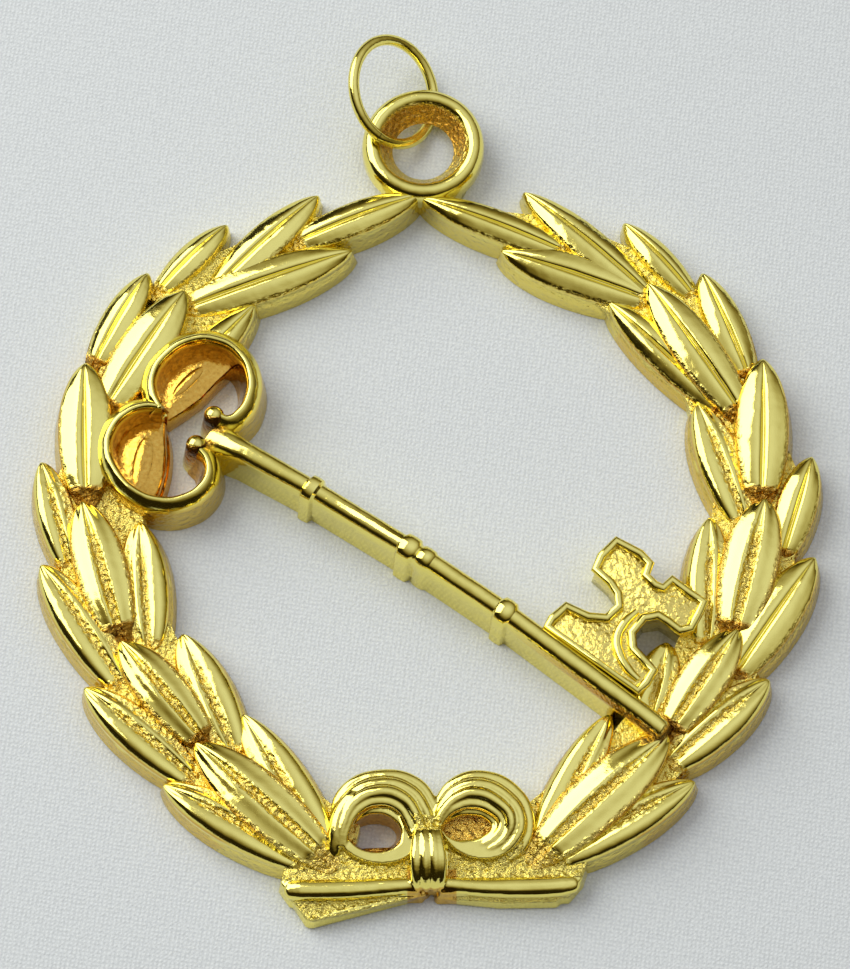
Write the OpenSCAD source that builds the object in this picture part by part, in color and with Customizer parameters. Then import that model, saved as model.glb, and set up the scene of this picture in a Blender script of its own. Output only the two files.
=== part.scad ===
// Collar jewel lying face up on its flat back: one casting of a laurel wreath tied
// with a ribbon bow, with a hanging eye at the top and a key laid across it, and a
// loose jump ring through the eye. All sizes are in millimetres.

/* [Wreath] */
// Reach of the outermost leaves' tips from the wreath's centre
wreath_radius = 37.8; // [36.5:0.1:39]
// Length of a full leaf
leaf_length = 15; // [14:0.25:16.5]
// Width of a full leaf
leaf_width = 4.9; // [4.4:0.1:5.6]
// Height of a leaf's edge above the back
leaf_edge = 2.7; // [2.4:0.1:3.2]
// Height of a leaf's two ridges above its edge
leaf_rise = 1.1; // [0.7:0.1:1.5]
// Extra height of the leaves along the middle of the wreath
middle_lift = 0.9; // [0.5:0.1:1.3]
// Rise of a leaf from its stem to its tip
tip_rise = 0.6; // [0.2:0.1:1]
// Drop of a side leaf towards the wreath's outline
leaf_drop = 0.6; // [0.2:0.05:0.8]
// Height of the grainy ground between the leaves
ground_height = 2.3; // [1.8:0.1:2.6]
// Outward spread of the cast walls from their top down to the back
draft = 0.5; // [0.3:0.05:0.8]
// Spread of the walls towards the wreath's open middle
inner_draft = 1; // [0.6:0.05:1.2]

/* [Ribbon bow] */
// Distance of the knot's middle inside the outermost leaves' tips
bow_inset = 6; // [5.2:0.1:6.8]
// Width of one ribbon loop
loop_width = 9.7; // [9:0.1:10.4]
// Height of the loops above the back
loop_height = 4.9; // [4.4:0.1:5.4]
// Width of the knot
knot_width = 3.9; // [3.4:0.1:4.6]
// Length of the knot
knot_length = 6.6; // [6:0.1:7.2]
// Height of the knot above the back
knot_height = 5.7; // [5.2:0.1:6.2]
// Length of the longer ribbon tail
tail_length = 14.2; // [13:0.2:15]
// Height of the tails' grainy face
tail_height = 2.7; // [2.4:0.1:3.1]

/* [Hanging eye] */
// Outer radius of the eye at its foot
eye_radius = 6; // [5.7:0.1:6.3]
// Distance of the eye's centre outside the outermost leaves' tips
eye_outset = 2.5; // [2.2:0.1:3]
// Height of the eye's rim above the back
eye_height = 4; // [3.7:0.1:4.2]
// Width of the eye's rim at its foot
eye_wall = 3; // [2.6:0.1:3.2]
// Clear height under the eye for the ring's wire
eye_gap = 1.5; // [1.4:0.05:1.7]

/* [Jump ring] */
// Outer diameter of the ring
ring_diameter = 11.5; // [11:0.1:12.5]
// Diameter of the ring's wire
ring_wire = 1.1; // [0.9:0.05:1.15]

/* [Key] */
// Distance of the key's neck left of the wreath's centre
key_left = 19.3; // [19:0.1:19.6]
// Distance of the key's neck above the wreath's centre
key_up = 9.1; // [8.8:0.1:9.4]
// Downward slope of the key
key_slope = 35.6; // [35:0.2:36.4]
// Length of the shaft
shaft_length = 51; // [50:0.25:52]
// Width of the shaft
shaft_width = 2.1; // [1.8:0.1:2.5]
// Height of the shaft's crest above the back
key_height = 5.3; // [5:0.1:5.8]
// Bend of the shaft at its middle
shaft_bend = 0.95; // [0:0.05:1.2]
// Width of the collars on the shaft
collar_width = 2.8; // [2.6:0.1:3.2]
// Radius of each round lobe of the key's bow, to the rim's crest
lobe_radius = 5; // [4.7:0.1:5.3]
// Width of the lobes' rim
rim_width = 1.3; // [1.1:0.1:1.6]
// Drop of the lobes' rim from the neck to the key's end
lobe_drop = 0.3; // [0.1:0.05:0.5]
// Diameter of the balls at the ends of the lobes
ball_diameter = 1.9; // [1.6:0.1:2.2]
// Distance of the bit's near edge from the neck
bit_start = 35.9; // [35:0.1:36.5]
// Width of the bit along the shaft
bit_width = 10.7; // [10:0.1:11.4]
// Reach of the bit out from the shaft's middle
bit_reach = 13; // [12:0.1:14]
// Height of the bit's raised rim above the back
bit_height = 4.9; // [4.7:0.1:5.3]
// Depth of the bit's sunk field below its rim
field_depth = 0.6; // [0.3:0.1:0.9]
// Width of the bit's raised rim
bit_rim = 0.6; // [0.4:0.05:0.8]

/* [Hidden] */
gilt = [0.86, 0.74, 0.28];
// A cut goes this far past the face it opens
through = 0.5;
// Thickness of the slices that a collar is wrapped round
slice = collar_width / 140;

// Leaves of one half, from the top down to the knot. Columns: turn from the top in
// degrees, distance as a share of wreath_radius, length and width as shares of a full
// leaf, outward lean in degrees, lift as a share of middle_lift, side (1 is outer)
leaves = [
    [11, 0.87, 0.94, 0.68, 11, 0.4, 0],
    [27, 0.90, 1.02, 0.74, 16, 0.3, 1],
    [29, 0.80, 1.06, 0.80, -9, 0.2, -1],
    [38, 0.96, 0.66, 0.58, 9, -0.2, 1],
    [51, 0.76, 1.02, 0.74, -3, 0, -1],
    [53, 0.97, 0.74, 0.70, 13, -0.1, 1],
    [54, 0.86, 0.98, 0.92, 4, 1, 0],
    [71, 0.90, 0.90, 1.00, 20, 1, 0],
    [74, 0.75, 0.80, 0.82, 3, 0, -1],
    [86, 0.94, 0.72, 0.72, 21, 0, 1],
    [95, 0.82, 0.91, 1.00, 10, 1, 0],
    [100, 0.71, 0.85, 0.84, -5, 0, -1],
    [104, 0.90, 0.94, 0.86, 20, 0, 1],
    [120, 0.78, 0.82, 0.90, 7, 1, 0],
    [125, 0.88, 0.88, 0.84, 15, 0, 1],
    [126, 0.69, 0.80, 0.82, -14, 0, -1],
    [147, 0.89, 1.00, 0.82, 4, 0, 1],
    [148, 0.80, 1.08, 1.04, -10, 1, 0],
    [151, 0.73, 1.00, 0.84, -31, 0, -1]
];
// Sections of a leaf from stem to tip. Columns: place along the length, share of the
// width, share of the rise, forward share of the foot's spread
leaf_sections = [
    [0, 0.36, 0.6, -1],
    [0.14, 0.72, 0.85, -0.3],
    [0.34, 0.97, 1, 0],
    [0.56, 1, 1, 0.1],
    [0.76, 0.80, 0.95, 0.35],
    [0.91, 0.44, 0.75, 0.7],
    [1, 0.06, 0.35, 1]
];
// Points across a leaf. Columns: share of the half width, share of the rise, foot or not
leaf_across = [[-1, 0, 1], [-1, 0, 0], [-0.6, 1, 0], [0, 0.4, 0], [0.6, 1, 0], [1, 0, 0], [1, 0, 1]];
// Ground band. Columns: turn from the top, inner and outer edge as shares of wreath_radius
ground = [
    [3, 0.885, 0.91],
    [12, 0.86, 0.90],
    [22, 0.78, 0.92],
    [40, 0.75, 0.95],
    [60, 0.73, 0.95],
    [80, 0.72, 0.95],
    [100, 0.69, 0.93],
    [120, 0.67, 0.90],
    [140, 0.68, 0.89],
    [155, 0.71, 0.89],
    [167, 0.77, 0.89]
];

// Loops of the bow: each middle is half a loop out from the knot, and its opening's middle
// sits lower; rise and opening are shares of loop_width
loop_mid = [0.475, 0.35];
loop_half = [0.5, 0.5];
// The lower half of a loop is folded flatter, by this share
loop_fold = 0.78;
hole_mid = [0.5, 0.26];
hole_half = [0.27, 0.2];
loop_steps = 26;
// Points across the ribbon. Columns: share from outer to inner edge, share of loop_height
loop_across = [
    [0, 0.74],
    [0.1, 0.9],
    [0.24, 0.83],
    [0.38, 0.98],
    [0.5, 0.89],
    [0.64, 1],
    [0.77, 0.9],
    [0.9, 0.92],
    [1, 0.78]
];
// Tails of the bow, seen from the front. Columns: shares of tail_length out from the knot
// and down from the knot's middle
left_tail = [[0, 0], [0.95, 0], [0.99, 0.24], [0.79, 0.42], [0, 0.25]];
right_tail = [[0, -0.03], [0.92, -0.03], [1.02, 0.04], [0.97, 0.22], [0.82, 0.28], [0, 0.28]];
ridge_radius = tail_height / 4;
// Sections of the knot from top to bottom. Columns: place, share of height, share of width
knot_sections = [[0, 0.6, 0.8], [0.1, 0.85, 0.92], [0.35, 1, 1], [0.7, 0.98, 1], [0.9, 0.82, 0.96], [1, 0.45, 0.85]];
knot_flutes = 4;
flute_depth = knot_height * 0.07;

// Places of the bow and the eye, below and above the wreath's centre
bow_drop = wreath_radius - bow_inset;
eye_rise = wreath_radius + eye_outset;

// Eye and ring
eye_hole = eye_radius - eye_wall;
rim_crest = eye_radius - eye_wall * 0.32;
// Points across the eye's rim. Columns: shares of eye_wall out from the crest and of the
// rim's own height
eye_across = [[-0.3, 0.75], [-0.15, 0.95], [0, 1], [0.17, 0.85], [0.27, 0.55]];
ring_wire_radius = ring_wire / 2;
ring_radius = ring_diameter / 2 - ring_wire_radius;
ring_lean = 42.7;
ring_turn = -11.3;
ring_lift = 0.02;
ring_at = [
    -0.54 * ring_radius,
    eye_rise + eye_radius - eye_wall / 2 + 0.155 * ring_radius,
    ring_wire_radius + ring_radius * sin(ring_lean) + ring_lift
];

// Sections of the shaft. Columns: place along, share of shaft_width, share of key_height
shaft_sections = [
    [-0.035, 1.7, 0.86],
    [0, 1.4, 0.95],
    [0.05, 1.1, 1],
    [0.17, 1, 1],
    [0.5, 1, 1],
    [0.96, 1.05, 1],
    [0.99, 0.8, 0.96],
    [1, 0.4, 0.86]
];
// Collars on the shaft. Columns: middle and length as shares of the shaft's length, share of
// the collar's extra width, share of key_height
shaft_collars = [
    [0.192, 0.034, 1, 1.06],
    [0.406, 0.038, 1, 1.06],
    [0.441, 0.044, 0.4, 1.02],
    [0.625, 0.04, 1, 1.06]
];
// Points across the shaft: shares of the half width and of the crest's height
shaft_across = [[-1, 0.66], [-0.8, 0.9], [-0.35, 1], [0.35, 1], [0.8, 0.9], [1, 0.66]];
// The lobes' middles as shares of lobe_radius, behind the neck and to each side of a line
// that lies a little below the shaft's
lobe_mid = [-0.93, 0.82];
lobe_low = -0.13;
// Path of a lobe's rim: turn about its middle and share of lobe_radius
lobe_path = concat([for (a = [236 : -18 : 2]) [a, 1]], [[-14, 0.95], [-27, 0.83], [-38, 0.66]]);
// Points across the rim: shares of rim_width from its crest and of key_height
rim_across = [[0.5, 0.8], [0.34, 0.95], [0, 1], [-0.34, 0.95], [-0.5, 0.8]];
ball_mid = [-0.49, 0.36];
// Outline of the bit: shares of bit_width along the shaft and of bit_reach outwards
bit_outline = [
    [0, 0.05],
    [0, 0.19],
    [0.04, 0.37],
    [0.23, 0.37],
    [0.37, 0.45],
    [0.41, 0.56],
    [0.28, 0.66],
    [0.05, 0.71],
    [0.06, 1],
    [0.37, 0.98],
    [0.4, 0.88],
    [0.58, 0.88],
    [0.66, 0.95],
    [0.96, 0.96],
    [1.01, 0.71],
    [0.8, 0.68],
    [0.63, 0.58],
    [0.62, 0.46],
    [0.74, 0.39],
    [0.97, 0.34],
    [1, 0.17],
    [1, 0.05]
];

// The jewel's outline reaches from the lower tail's corner to the far side of the ring,
// and its middle is put at the origin
ring_reach = ring_radius * sqrt(1 - pow(sin(ring_lean) * sin(ring_turn), 2)) + ring_wire_radius;
top_end = ring_at.y + ring_reach;
low_end = bow_drop + tail_length * 0.42 + draft;
middle = (top_end - low_end) / 2;

// Each corner of a closed outline moved outwards by the same distance from both its sides
function unit(v) = v / norm(v);
function outward(p, q) = let (d = unit(q - p)) [d.y, -d.x];
function spread(outline, by) = [
    for (i = [0 : len(outline) - 1])
        let (
            n = len(outline),
            a = outward(outline[(i + n - 1) % n], outline[i]),
            b = outward(outline[i], outline[(i + 1) % n])
        )
        outline[i] + by * (a + b) / (1 + a * b)
];
function at_height(outline, z) = [for (p = outline) [p.x, p.y, z]];
function scaled(table, size) = [for (p = table) [p.x * size.x, p.y * size.y]];
function reversed(list) = [for (i = [len(list) - 1 : -1 : 0]) list[i]];
function around(turn) = [sin(turn), cos(turn)];

// Skin over sections of equally many points, closed with end faces or into a ring
module skin(sections, ring = false, flat = false) {
    n = len(sections[0]);
    m = len(sections);
    sides = [
        for (i = [0 : ring ? m - 1 : m - 2], j = [0 : n - 1])
            let (k = (j + 1) % n, u = i * n, v = (i + 1) % m * n)
            each [[u + j, v + k, v + j], [u + j, u + k, v + k]]
    ];
    end = (m - 1) * n;
    fans = [for (j = [1 : n - 2]) each [[0, j + 1, j], [end, end + j, end + j + 1]]];
    lids = [[for (j = [n - 1 : -1 : 0]) j], [for (j = [0 : n - 1]) end + j]];
    polyhedron(points = [for (s = sections) each s], faces = ring ? sides : concat(sides, flat ? lids : fans));
}

// Flat-topped piece with walls that spread outwards down to the back
module slab(outline, height) {
    top = reversed(outline);
    skin([at_height(reversed(spread(outline, draft)), 0), at_height(top, height)], flat = true);
}

// Pointed leaf with two ridges and a groove, pointing along X
module leaf(length, width, lift, side) {
    half = width / 2;
    skin([
        for (s = leaf_sections) [
            for (p = leaf_across)
                let (
                    out = p[2] * (p[0] > 0 ? inner_draft : draft),
                    x = length * (s[0] - 0.5) + out * s[3],
                    y = sign(p[0]) * (half * s[1] * abs(p[0]) + out * (1 - abs(s[3]) * 0.6)),
                    top = leaf_edge + lift * middle_lift + tip_rise * (s[0] - 0.5)
                        + leaf_rise * s[2] * p[1] + side * leaf_drop * p[0] * s[1]
                )
                [x, y, p[2] == 1 ? 0 : top]
        ]
    ]);
}

// Sprays of leaves up both sides, on their band of ground
module laurel() {
    color(gilt)
    for (half = [0, 1]) mirror([half, 0, 0]) {
        skin([
            for (g = ground)
                let (to = around(g[0]), a = g[1] * wreath_radius, b = g[2] * wreath_radius)
                [
                    concat(to * (a - inner_draft), 0),
                    concat(to * a, ground_height),
                    concat(to * b, ground_height),
                    concat(to * (b + draft), 0)
                ]
        ]);
        for (l = leaves)
            translate(l[1] * wreath_radius * around(l[0]))
                rotate(180 - l[0] - l[4])
                    leaf(l[2] * leaf_length, l[3] * leaf_width, l[5], l[6]);
    }
}

// One ribbed loop of the bow, on the knot's right
module ribbon_loop(open) {
    mid = loop_width * loop_mid;
    hole = loop_width * hole_mid;
    skin([
        for (i = [0 : loop_steps - 1])
            let (
                a = 360 * i / loop_steps,
                fold = sin(a) > 0 ? 1 : loop_fold,
                rim = mid + [cos(a) * loop_half.x, sin(a) * fold * loop_half.y] * loop_width,
                high = loop_height * (0.92 + 0.08 * sin(a)),
                edge = hole + [cos(a) * hole_half.x, sin(a) * hole_half.y] * loop_width,
                away = [cos(a), sin(a)]
            )
            concat(
                [concat(rim + away * draft, 0)],
                [for (p = loop_across) concat(rim + (edge - rim) * p[0], high * p[1])],
                [concat(edge - away * draft / 2, 0)]
            )
    ], ring = true);
    if (!open)
        linear_extrude(ground_height)
            translate(hole)
                scale(hole_half + [0.1, 0.1])
                    circle(r = loop_width, $fn = 20);
}

// One tail with its smooth rounded ridge
module ribbon_tail(outline) {
    edge = reversed(scaled(outline, [tail_length, -tail_length]));
    slab(edge, tail_height);
    hull()
        for (x = [knot_width / 2, tail_length * 0.9])
            translate([x, -tail_length * 0.245, tail_height])
                sphere(r = ridge_radius, $fn = 12);
}

// Bow of two loops, two tails and a fluted knot
module ribbon_bow() {
    color(gilt)
    translate([0, -bow_drop, 0]) {
        ribbon_loop(false);
        ribbon_tail(right_tail);
        mirror([1, 0, 0]) {
            ribbon_loop(true);
            ribbon_tail(left_tail);
        }
        skin([
            for (s = knot_sections)
                let (y = knot_length * (0.5 - s[0]), half = knot_width / 2 * s[2], z = knot_height * s[1])
                concat(
                    [[-half - draft / 2, y, 0]],
                    [
                        for (k = [0 : 2 * knot_flutes])
                            let (x = k / knot_flutes - 1)
                            [half * x, y, z * (1 - 0.16 * x * x) - (k % 2 == 0 ? flute_depth : 0)]
                    ],
                    [[half + draft / 2, y, 0]]
                )
        ]);
    }
}

// Round eye, raised off the back, that blends into the top leaves
module hanging_eye() {
    color(gilt)
    translate([0, eye_rise, 0]) {
        translate([0, 0, eye_gap])
            rotate_extrude($fn = 40)
                polygon(concat(
                    [[eye_hole, 0]],
                    [for (p = eye_across) [rim_crest + eye_wall * p[0], (eye_height - eye_gap) * p[1]]],
                    [[eye_radius, 0]]
                ));
    }
    // Web between the eye and the two top leaves
    color(gilt)
    translate([0, eye_rise - eye_radius, 0])
        slab(scaled([[-0.4, 0.05], [0.4, 0.05], [0.66, 0.24], [-0.66, 0.24]], [eye_radius, eye_radius]), leaf_edge);
}

// Round rims of the key's bow with a ball at each curled end
module key_bow() {
    color(gilt)
    for (side = [1, -1])
        translate([0, lobe_low * lobe_radius, 0]) mirror([0, side < 0 ? 1 : 0, 0]) {
            path = [for (p = lobe_path) lobe_radius * (lobe_mid + p[1] * [cos(p[0]), sin(p[0])])];
            last = len(path) - 1;
            skin([
                for (i = [0 : last])
                    let (
                        out = -outward(path[max(i - 1, 0)], path[min(i + 1, last)]),
                        high = key_height + lobe_drop * path[i].x / lobe_radius / 2
                    )
                    concat(
                        [concat(path[i] - out * (rim_width / 2 + draft / 3), 0)],
                        [for (p = rim_across) concat(path[i] - out * rim_width * p[0], high * p[1])],
                        [concat(path[i] + out * (rim_width / 2 + draft), 0)]
                    )
            ]);
            translate(lobe_radius * ball_mid)
                hull() {
                    translate([0, 0, key_height - ball_diameter / 2])
                        sphere(d = ball_diameter, $fn = 14);
                    cylinder(d = ball_diameter, h = ball_diameter / 2, $fn = 14);
                }
        }
}

// Outline of the shaft square to its length, from foot to foot
function across_shaft(half, high) = concat(
    [[-half - draft / 2, 0]],
    [for (p = shaft_across) [p.x * half, p.y * high]],
    [[half + draft / 2, 0]]
);
function bend_at(share) = shaft_bend * (1 - abs(2 * share - 1));

// Collar that stands out of the shaft, with sloping ends that start inside it
module shaft_collar(c) {
    // Columns: place as a share of the length, shares of the extra width and of the height
    ends = [[-0.5, -0.6, 0.95], [-0.24, 1, 1], [0.24, 1, 1], [0.5, -0.6, 0.95]];
    hull()
        for (e = ends) {
            at = c[0] + e[0] * c[1];
            half = (shaft_width + (collar_width - shaft_width) * c[2] * e[1]) / 2;
            translate([at * shaft_length, bend_at(at), 0])
                rotate([90, 0, 90])
                    linear_extrude(slice)
                        polygon(across_shaft(half, key_height * c[3] * e[2]));
        }
}

// Half-round shaft with its collars
module key_shaft() {
    color(gilt) {
        skin([
            for (s = shaft_sections) [
                for (p = across_shaft(shaft_width * s[1] / 2, key_height * s[2]))
                    [s[0] * shaft_length, p.x + bend_at(s[0]), p.y]
            ]
        ]);
        for (c = shaft_collars) shaft_collar(c);
    }
}

// Bit of the key: a pierced-looking outline with a raised rim round a sunk field
module key_bit() {
    outline = reversed(scaled(bit_outline, [bit_width, bit_reach]));
    color(gilt)
    translate([bit_start, 0, 0])
        difference() {
            slab(outline, bit_height);
            translate([0, 0, bit_height - field_depth])
                linear_extrude(field_depth + through)
                    polygon(spread(outline, -bit_rim));
        }
}

// The whole casting
module wreath_casting() {
    translate([0, -middle, 0]) {
        laurel();
        ribbon_bow();
        hanging_eye();
        translate([-key_left, key_up, 0])
            rotate(-key_slope) {
                key_bow();
                key_shaft();
                key_bit();
            }
    }
}

// Round wire ring that leans through the eye, under its rim at one side and over it
// at the other
module jump_ring() {
    color(gilt)
    translate([0, -middle, 0])
        translate(ring_at)
            rotate([0, ring_lean, ring_turn])
                rotate_extrude($fn = 48)
                    translate([ring_radius, 0])
                        circle(r = ring_wire_radius, $fn = 20);
}

wreath_casting();
jump_ring();
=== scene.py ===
import math

import bmesh
import bpy
from mathutils import Matrix, Vector


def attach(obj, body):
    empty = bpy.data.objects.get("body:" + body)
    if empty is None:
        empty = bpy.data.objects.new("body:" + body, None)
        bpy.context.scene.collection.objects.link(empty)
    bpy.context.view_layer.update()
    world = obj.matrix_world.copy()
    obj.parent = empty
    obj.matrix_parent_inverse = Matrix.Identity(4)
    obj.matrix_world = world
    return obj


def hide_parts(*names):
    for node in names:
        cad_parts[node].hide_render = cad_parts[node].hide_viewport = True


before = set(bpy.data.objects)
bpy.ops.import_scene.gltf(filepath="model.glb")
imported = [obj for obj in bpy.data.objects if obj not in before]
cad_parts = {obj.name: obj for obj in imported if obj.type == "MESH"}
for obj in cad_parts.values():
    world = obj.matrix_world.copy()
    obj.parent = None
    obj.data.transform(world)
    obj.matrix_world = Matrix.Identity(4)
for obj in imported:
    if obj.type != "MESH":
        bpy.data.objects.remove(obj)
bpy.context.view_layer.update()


# The camera
# The photograph looks down on the lying jewel from its foot, 20 degrees off the plumb line,
# with a long lens, and the jewel fills most of the picture's width.
mm = 0.001
camera_lean = 20
camera_roll = -0.67
camera_distance = 450 * mm
camera_aim = Vector((-0.2, -0.5, 0)) * mm
bpy.ops.object.select_all(action="DESELECT")
bpy.ops.object.camera_add()
camera = bpy.context.object
camera.name = "photo_camera"
camera.data.sensor_fit = "VERTICAL"
camera.data.sensor_height = 36
camera.data.lens = 173.9
lean = Matrix.Rotation(math.radians(camera_lean), 4, "X") @ Matrix.Rotation(math.radians(camera_roll), 4, "Z")
camera.matrix_world = Matrix.Translation(camera_aim) @ lean @ Matrix.Translation((0, 0, camera_distance))
bpy.context.scene.camera = camera


# The cloth it lies on
# A pale, tightly woven white cloth spread flat on a table. Only its fine weave shows, as a
# faint speckle.
cloth_width = 3
cloth_drop = 0.05 * mm
thread_pitch = 0.4028 * mm
thread_slant = 9
weave_depth = 0.09 * mm
fuzz_size = 0.303 * mm


def linear(shade):
    """A hex colour as four linear numbers."""
    parts = [int(shade[i:i + 2], 16) / 255 for i in (1, 3, 5)]
    return [c / 12.92 if c <= 0.04045 else ((c + 0.055) / 1.055) ** 2.4 for c in parts] + [1]


def add(tree, kind, links=None, **settings):
    """Adds a node; links holds values or sockets for its inputs, settings its own options."""
    made = tree.nodes.new("ShaderNode" + kind)
    for name, value in settings.items():
        setattr(made, name, value)
    for name, value in (links or {}).items():
        if isinstance(value, bpy.types.NodeSocket):
            tree.links.new(value, made.inputs[name])
        else:
            made.inputs[name].default_value = value
    return made


bpy.ops.mesh.primitive_grid_add(
    x_subdivisions=4, y_subdivisions=4, size=cloth_width, location=(0, 0, -cloth_drop))
cloth = bpy.context.object
cloth.name = "pale_cloth"
bpy.ops.object.transform_apply(location=True)

# Woven white cotton: matt, with threads that cross at a slight slant to the table's edge
white_cloth = bpy.data.materials.new("white_woven_cloth")
white_cloth.use_nodes = True
tree = white_cloth.node_tree
tree.nodes.clear()
place = add(tree, "TexCoord").outputs["Object"]
slant = add(tree, "Mapping", {
    "Vector": place, "Rotation": (0, 0, math.radians(thread_slant))}).outputs["Vector"]
warp, weft = (
    add(tree, "TexWave", {
        "Vector": slant, "Scale": math.pi / 10 / thread_pitch, "Distortion": 0.6, "Detail": 1},
        bands_direction=direction).outputs["Fac"]
    for direction in "XY")
threads = add(tree, "Math", {0: warp, 1: weft}, operation="MULTIPLY").outputs[0]
fuzz = add(tree, "TexNoise", {
    "Vector": place, "Scale": 1 / fuzz_size, "Detail": 2, "Roughness": 0.6}).outputs["Fac"]
speckle = add(tree, "Math", {0: threads, 1: 0.35, 2: fuzz}, operation="MULTIPLY_ADD").outputs[0]
tone = add(tree, "ValToRGB", {"Fac": speckle})
tone.color_ramp.elements[0].position = 0.4
tone.color_ramp.elements[0].color = linear("#D8DDDB")
tone.color_ramp.elements[1].position = 0.8
tone.color_ramp.elements[1].color = linear("#E9EEEB")
weave = add(tree, "Bump", {"Height": speckle, "Strength": 0.7, "Distance": weave_depth})
shader = add(tree, "BsdfPrincipled", {
    "Base Color": tone.outputs["Color"], "Roughness": 0.85, "Normal": weave.outputs["Normal"]})
add(tree, "OutputMaterial", {"Surface": shader.outputs["BSDF"]})
cloth.data.materials.append(white_cloth)


# The ground of the casting
# The jewel is one casting in zinc alloy under gold plate. Between the leaves lies a flat band
# that still has the grain of the mould.
ground_height = 2.5
# The wreath's centre in the shared frame
centre = Vector((0, -6.52, 0)) * mm
# Half of the band, from the top to the knot: turn from the top in degrees, inner and outer
# edge from the wreath's centre
band = [
    (3, 33.5, 34.4), (12, 32.3, 34.2), (22, 29.5, 35.2), (40, 28.9, 36.3), (60, 28.6, 36.0), (80, 28.0, 35.9),
    (100, 26.6, 35.2), (120, 26.0, 34.1), (140, 26.3, 33.7), (155, 27.2, 33.6), (167, 29.4, 33.6)]
# The plated metal's patterns: slow waves that polish leaves, pores that it hides, and the
# lumps of the mould's grain
wave_size = 3.03 * mm
wave_depth = 0.25 * mm
pore_size = 0.3846 * mm
pore_depth = 0.02 * mm
lump_size = 0.5 * mm
grain_depth = 0.34 * mm

# Gold plate on a casting: a soft mirror where it was polished, sandy where it wasn't
gilt = bpy.data.materials.new("gold_plated_casting")
gilt.use_nodes = True
tree = gilt.node_tree
tree.nodes.clear()
place = add(tree, "TexCoord").outputs["Object"]
grain = add(tree, "Attribute", attribute_name="grain").outputs["Fac"]
painted_shade = add(tree, "Attribute", attribute_name="painted_shade").outputs["Fac"]
waves = add(tree, "TexNoise", {"Vector": place, "Scale": 1 / wave_size, "Detail": 2}).outputs["Fac"]
pores = add(tree, "TexNoise", {
    "Vector": place, "Scale": 1 / pore_size, "Detail": 3, "Roughness": 0.6}).outputs["Fac"]
lumps = add(tree, "TexVoronoi", {
    "Vector": place, "Scale": 1 / lump_size, "Randomness": 1}, feature="SMOOTH_F1").outputs["Distance"]
rough_part = add(tree, "Math", {0: pores, 1: lumps}, operation="SUBTRACT").outputs[0]
cast = add(tree, "Math", {0: rough_part, 1: grain}, operation="MULTIPLY").outputs[0]
polish = add(tree, "Bump", {"Height": waves, "Strength": 0.6, "Distance": wave_depth}).outputs["Normal"]
satin = add(tree, "Bump", {
    "Height": pores, "Strength": 0.4, "Distance": pore_depth, "Normal": polish}).outputs["Normal"]
sandy = add(tree, "Bump", {
    "Height": cast, "Strength": 1, "Distance": grain_depth, "Normal": satin}).outputs["Normal"]
# Pale gold, painted amber where facing walls bounce light, painted brown shade in hollows, creases and grain
# pits
pit_shade = add(tree, "Math", {0: lumps, 1: grain}, operation="MULTIPLY").outputs[0]
patchy = add(tree, "Math", {0: pores, 1: 0.9, 2: 0.55}, operation="MULTIPLY_ADD").outputs[0]
patchy_shade = add(tree, "Math", {0: painted_shade, 1: patchy}, operation="MULTIPLY").outputs[0]
shade_depth = add(tree, "Math", {0: pit_shade, 1: 0.16, 2: patchy_shade}, operation="MULTIPLY_ADD").outputs[0]
shade = add(tree, "ValToRGB", {"Fac": shade_depth})
shade.color_ramp.elements[0].color = linear("#F9EB7E")
shade.color_ramp.elements[1].color = linear("#4A2E0C")
shade.color_ramp.elements.new(0.6).color = linear("#DCAB45")
dull = add(tree, "MapRange", {"Value": grain, "To Min": 0.11, "To Max": 0.17}).outputs["Result"]
shader = add(tree, "BsdfPrincipled", {
    "Base Color": shade.outputs["Color"], "Metallic": 1, "Roughness": dull, "Normal": sandy})
add(tree, "OutputMaterial", {"Surface": shader.outputs["BSDF"]})


def only(thing):
    """Leaves edit mode and selects this object, or these, alone."""
    if bpy.context.mode != "OBJECT":
        bpy.ops.object.mode_set(mode="OBJECT")
    bpy.ops.object.select_all(action="DESELECT")
    for each in thing if isinstance(thing, list) else [thing]:
        each.select_set(True)
        bpy.context.view_layer.objects.active = each


def pick(test):
    """In edit mode, selects the points whose place passes the test, and what lies between them."""
    mesh = bmesh.from_edit_mesh(bpy.context.edit_object.data)
    for kind in (mesh.faces, mesh.edges, mesh.verts):
        for part in kind:
            part.select = False
    for point in mesh.verts:
        if test(point.co):
            point.select = True
    mesh.select_flush(True)
    bmesh.update_edit_mesh(bpy.context.edit_object.data)


def move(x=0, y=0, z=0):
    bpy.ops.transform.translate(value=(x, y, z))


def scale(x=1, y=1, z=1, about=(0, 0, 0)):
    bpy.ops.transform.resize(value=(x, y, z), center_override=about)


def turn(degrees, axis="Z", about=(0, 0, 0)):
    """Counter-clockwise; without a window the operator turns the other way."""
    bpy.ops.transform.rotate(value=-math.radians(degrees), orient_axis=axis, center_override=about)


def extrude(x=0, y=0, z=0):
    bpy.ops.mesh.extrude_region_move(TRANSFORM_OT_translate={"value": (x, y, z)})


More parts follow.
